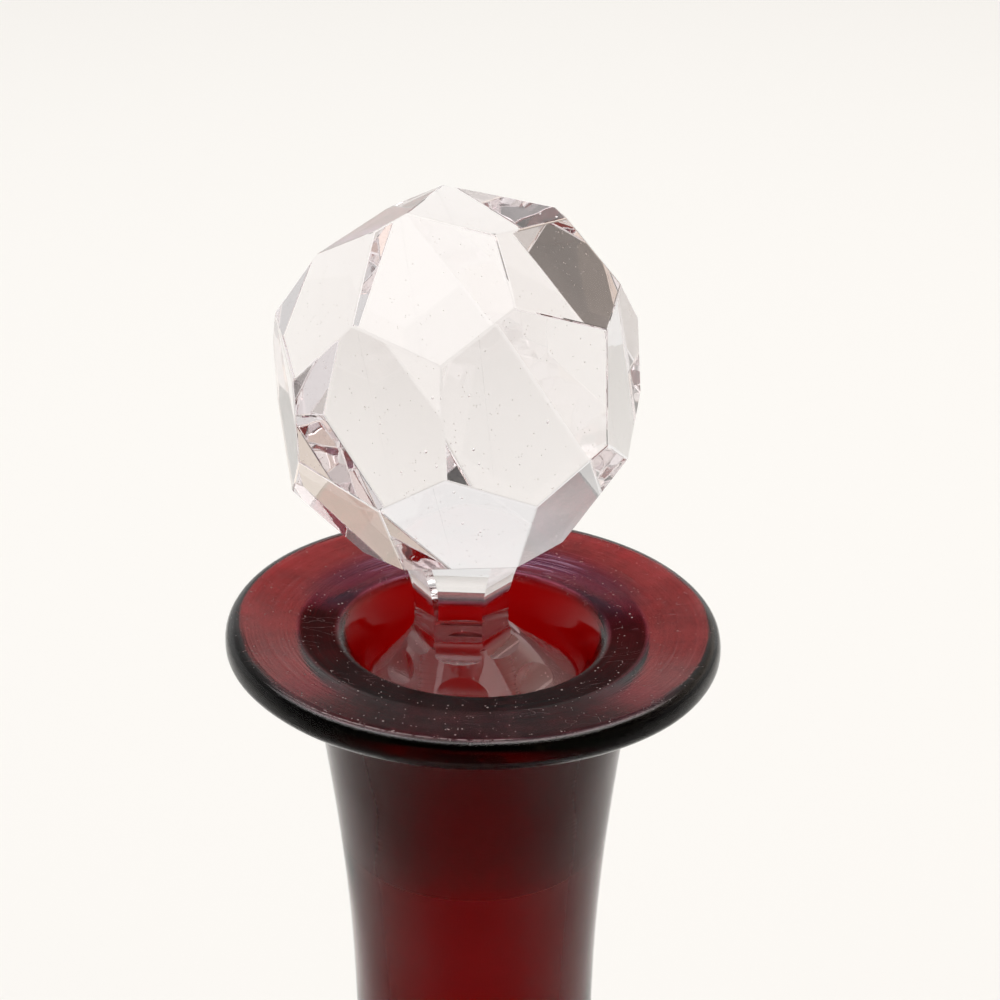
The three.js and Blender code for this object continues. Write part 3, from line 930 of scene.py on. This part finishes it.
def scoop_solid(s, turn):
    """The wheel that grinds one scoop of the shoulder"""
    spread = s.plug_top / 2 - s.cone_radius
    rise = s.cone_height + s.plug_depth
    middle = at(s.cone_radius + spread / 2, s.cone_height - rise / 2)
    centre = middle + at(rise, spread).normalized() * (s.scoop_wheel - s.scoop_depth)
    place = Matrix.Rotation(turn - math.pi / 2, 4, "Z") @ Matrix.Translation(centre)
    bm = bmesh.new()
    bmesh.ops.create_cone(
        bm, cap_ends=True, segments=ROUND_STEPS, radius1=s.scoop_wheel, radius2=s.scoop_wheel,
        depth=s.plug_top, matrix=place @ Matrix.Rotation(math.pi / 2, 4, "X"),
    )
    return bm


def joined(base, others):
    """The base after each other solid is kept to, cut away or added, in order, as a new bmesh"""
    for other, operation in others:
        modifier = base.modifiers.new("join", "BOOLEAN")
        modifier.operation = operation
        modifier.object = other
        modifier.solver = "EXACT"
    graph = bpy.context.evaluated_depsgraph_get()
    mesh = bpy.data.meshes.new_from_object(base.evaluated_get(graph))
    bm = bmesh.new()
    bm.from_mesh(mesh)
    bpy.data.meshes.remove(mesh)
    for o in [base] + [other for other, _ in others]:
        bpy.data.objects.remove(o)
    return bm


def stopper_blank(s, taper, lip, shift):
    """Plug, shoulder and a thick neck to cut from, turned on the axis and shifted above the lip's plane"""
    neck_top = lip + s.ball_height - s.bottom_depth + s.neck_overlap
    outline = Outline(at(0, taper.bottom))
    outline.line(at(taper.plug(taper.bottom) - s.plug_edge, taper.bottom))
    outline.line(at(taper.plug(taper.bottom + s.plug_edge), taper.bottom + s.plug_edge))
    outline.line(at(s.plug_top / 2, taper.top))
    outline.line(at(s.cone_radius, lip + s.cone_height))
    outline.line(at(s.neck_spread, neck_top))
    outline.line(at(0, neck_top))
    bm = spun(outline.points)
    bmesh.ops.translate(bm, vec=shift, verts=[v for v in bm.verts if v.co.z > lip])
    return bm


def add_bubbles(bm, centre):
    """Tiny bubbles of air in the ball"""
    draw = random.Random(BUBBLE_SEED)
    for _ in range(BUBBLES):
        place = Vector([draw.uniform(low, high) for low, high in BUBBLE_BOX]) * MM
        size = draw.uniform(*BUBBLE_SIZES) * MM
        ball = bmesh.ops.create_icosphere(bm, subdivisions=2, radius=size)
        bmesh.ops.translate(bm, vec=centre + place, verts=ball["verts"])
        faces = {f for v in ball["verts"] for f in v.link_faces}
        for f in faces:
            f.smooth = True
        bmesh.ops.reverse_faces(bm, faces=list(faces))


class DECANTER_OT_bottle(bpy.types.Operator):
    """Make the blown ruby bottle: foot, body, neck and wide flat lip in one wall of glass"""

    bl_idname = "decanter.bottle"
    bl_label = "Bottle"

    def execute(self, context):
        s = context.scene.decanter_bottle
        taper = Taper(s, context.scene.decanter_stopper)
        outline = Outline(at(0, s.kick_height))
        draw_outside(outline, s, taper)
        draw_lip(outline, s, taper)
        draw_inside(outline, s, taper)
        bm = spun(outline.points)
        lean_lip(bm, s, taper)
        for f in bm.faces:
            f.smooth = True
        material = ruby_glass(s, context.scene.decanter_stopper, context.scene.decanter_finish)
        piece(bm, "ruby_bottle", material, "bottle", "bottle")
        return {"FINISHED"}


class DECANTER_OT_stopper(bpy.types.Operator):
    """Make the cut stopper: ball, six-sided neck and ground plug in one lump of clear glass"""

    bl_idname = "decanter.stopper"
    bl_label = "Stopper"

    def execute(self, context):
        bottle = context.scene.decanter_bottle
        s = context.scene.decanter_stopper
        lip = bottle.lip_height
        shift = Vector((-s.shift_left, s.shift_back, 0))
        centre = shift + UP * (lip + s.ball_height)
        blank = stopper_blank(s, Taper(bottle, s), lip, shift)
        hull = fluted_hull(s)
        bmesh.ops.translate(hull, vec=shift + UP * lip, verts=hull.verts)
        others = [(solid(hull, "flutes", True), "INTERSECT")]
        for side in range(s.sides):
            scoop = scoop_solid(s, s.neck_turn + side * 2 * math.pi / s.sides)
            bmesh.ops.translate(scoop, vec=shift / 2 + UP * lip, verts=scoop.verts)
            others.append((solid(scoop, "scoop", True), "DIFFERENCE"))
        ball = cut_ball(s)
        mark_wear(ball)
        bmesh.ops.translate(ball, vec=centre, verts=ball.verts)
        others.append((solid(ball, "ball", False), "UNION"))
        bm = joined(solid(blank, "blank", True), others)
        bmesh.ops.dissolve_degenerate(bm, edges=bm.edges, dist=SLIVER)
        for e in bm.edges:
            e.smooth = not (len(e.link_faces) == 2 and e.calc_face_angle() > SHARP_EDGE)
        add_bubbles(bm, centre)
        material = clear_glass(bottle, s, context.scene.decanter_finish)
        piece(bm, "cut_stopper", material, "stopper", "stopper")
        return {"FINISHED"}


# Half the side of the floor in metres, its roughness, and how near the camera sees
FLOOR_HALF = 6
FLOOR_MATT = 0.6
NEAR_CLIP = 0.01

# Where the studio turns warm and dimmer, as parts of the direction of a look to the right or upwards
WARM_RIGHT = (0.0, 0.5)
WARM_BOTTOM = (0.1, 0.5)
WARM_TOP = (0.7, 0.9)
DIM_RIGHT = (0.3, 0.9)
DIM_TOP = (0.2, 0.4)

# Where the middle of the lip stands in the picture, and the picture's own middle and width
LIP_PIXEL = Vector((473.343, 633.783))
PICTURE_MIDDLE = Vector((500, 500))
PICTURE_WIDTH = 1000
SENSOR = 36


def add_floor(colour):
    material = bpy.data.materials.new("pale_floor")
    paint = Paint(material)
    shader = paint.node("ShaderNodeBsdfPrincipled", {}, opaque(colour), Roughness=FLOOR_MATT, output=None)
    output = paint.node("ShaderNodeOutputMaterial", {}, output=None)
    paint.tree.links.new(shader.outputs[0], output.inputs["Surface"])
    bm = bmesh.new()
    bmesh.ops.create_grid(bm, x_segments=1, y_segments=1, size=FLOOR_HALF)
    made = made_object(bm, "floor", material)


def add_soft_light(stage):
    data = bpy.data.lights.new("soft_light", "AREA")
    data.size = stage.light_size
    data.energy = stage.light_power
    made = bpy.data.objects.new("soft_light", data)
    made.location = (0, stage.light_back, stage.light_height)
    bpy.context.scene.collection.objects.link(made)


def add_world(context, stage):
    """White walls low down, a dimmer band above them, a bright ceiling, and the darker room in front"""
    world = bpy.data.worlds.new("studio")
    context.scene.world = world
    paint = Paint(world)
    look = paint.node("ShaderNodeTexCoord", {}, output="Generated")
    x, y, z = paint.split(look)
    walls = z.below(math.sin(stage.wall_top), math.sin(stage.band_bottom))
    ceiling = z.above(math.sin(stage.band_top), math.sin(stage.ceiling_bottom))
    light = stage.band_light + walls * (stage.wall_light - stage.band_light)
    light = light + ceiling * (stage.ceiling_light - stage.band_light)
    light = light * (1 - z.below(0.0, math.sin(stage.foot_top)) * (1 - stage.wall_foot))
    warm = x.above(*WARM_RIGHT) * z.above(*WARM_BOTTOM)
    light = light + warm * z.below(*WARM_TOP) * stage.warm_light
    light = light * (1 - x.above(*DIM_RIGHT) * z.below(*DIM_TOP) * stage.right_loss)
    towards_room = z * math.sin(stage.room_height) - y * math.cos(stage.room_height)
    room = towards_room.above(math.cos(stage.room_outer), math.cos(stage.room_inner))
    light = light * (1 - room * (1 - stage.room_light))
    tint = paint.blend(warm, opaque(stage.wall_colour), opaque(stage.warm_colour))
    glow = paint.node("ShaderNodeBackground", {}, tint, light, output=None)
    output = paint.node("ShaderNodeOutputWorld", {}, output=None)
    paint.tree.links.new(glow.outputs[0], output.inputs["Surface"])


def add_camera(context, stage, lip):
    back = Vector((0, -math.cos(stage.elevation), math.sin(stage.elevation)))
    right = Vector((1, 0, 0))
    square = Matrix((right, back.cross(right), back)).transposed()
    focal = stage.lens * PICTURE_WIDTH / SENSOR
    off = LIP_PIXEL - PICTURE_MIDDLE
    towards_lip = Vector((off.x / focal, -off.y / focal, -1)).normalized()
    aim = Vector((0, 0, -1)).rotation_difference(towards_lip).to_matrix()
    turn = square @ (aim @ Matrix.Rotation(stage.roll, 3, "Z")).inverted()
    data = bpy.data.cameras.new("camera")
    data.lens = stage.lens
    data.sensor_width = SENSOR
    data.clip_start = NEAR_CLIP
    camera = bpy.data.objects.new("camera", data)
    camera.matrix_world = Matrix.Translation(lip + back * stage.distance) @ turn.to_4x4()
    context.scene.collection.objects.link(camera)
    context.scene.camera = camera


class DECANTER_OT_stage(bpy.types.Operator):
    """Make the plain floor, the soft light and the camera"""

    bl_idname = "decanter.stage"
    bl_label = "Stage"

    def execute(self, context):
        stage = context.scene.decanter_stage
        lip = UP * context.scene.decanter_bottle.lip_height
        add_world(context, stage)
        add_floor(stage.floor_colour)
        add_soft_light(stage)
        add_camera(context, stage, lip)
        context.scene.view_settings.view_transform = "Standard"
        context.scene.cycles.max_bounces = LIGHT_BOUNCES
        context.scene.cycles.transmission_bounces = LIGHT_BOUNCES
        context.scene.cycles.glossy_bounces = LIGHT_BOUNCES
        return {"FINISHED"}


class DECANTER_PT_panel(bpy.types.Panel):
    """Decanter tools"""

    bl_idname = "DECANTER_PT_panel"
    bl_label = "Decanter"
    bl_space_type = "VIEW_3D"
    bl_region_type = "UI"
    bl_category = "Decanter"

    def draw(self, context):
        for operator in OPERATORS:
            self.layout.operator(operator.bl_idname)


GROUPS = {
    "decanter_bottle": BottleSizes,
    "decanter_stopper": StopperSizes,
    "decanter_finish": DecanterFinish,
    "decanter_stage": StageSettings,
}
OPERATORS = (DECANTER_OT_stage, DECANTER_OT_bottle, DECANTER_OT_stopper)


def register():
    for cls in (*GROUPS.values(), *OPERATORS, DECANTER_PT_panel):
        bpy.utils.register_class(cls)
    for name, group in GROUPS.items():
        setattr(bpy.types.Scene, name, PointerProperty(type=group))


def unregister():
    for name in GROUPS:
        delattr(bpy.types.Scene, name)
    for cls in (DECANTER_PT_panel, *reversed(OPERATORS), *reversed(GROUPS.values())):
        bpy.utils.unregister_class(cls)


def main():
    register()
    bpy.ops.decanter.stage()
    bpy.ops.decanter.bottle()
    bpy.ops.decanter.stopper()


if __name__ == "__main__":
    main()
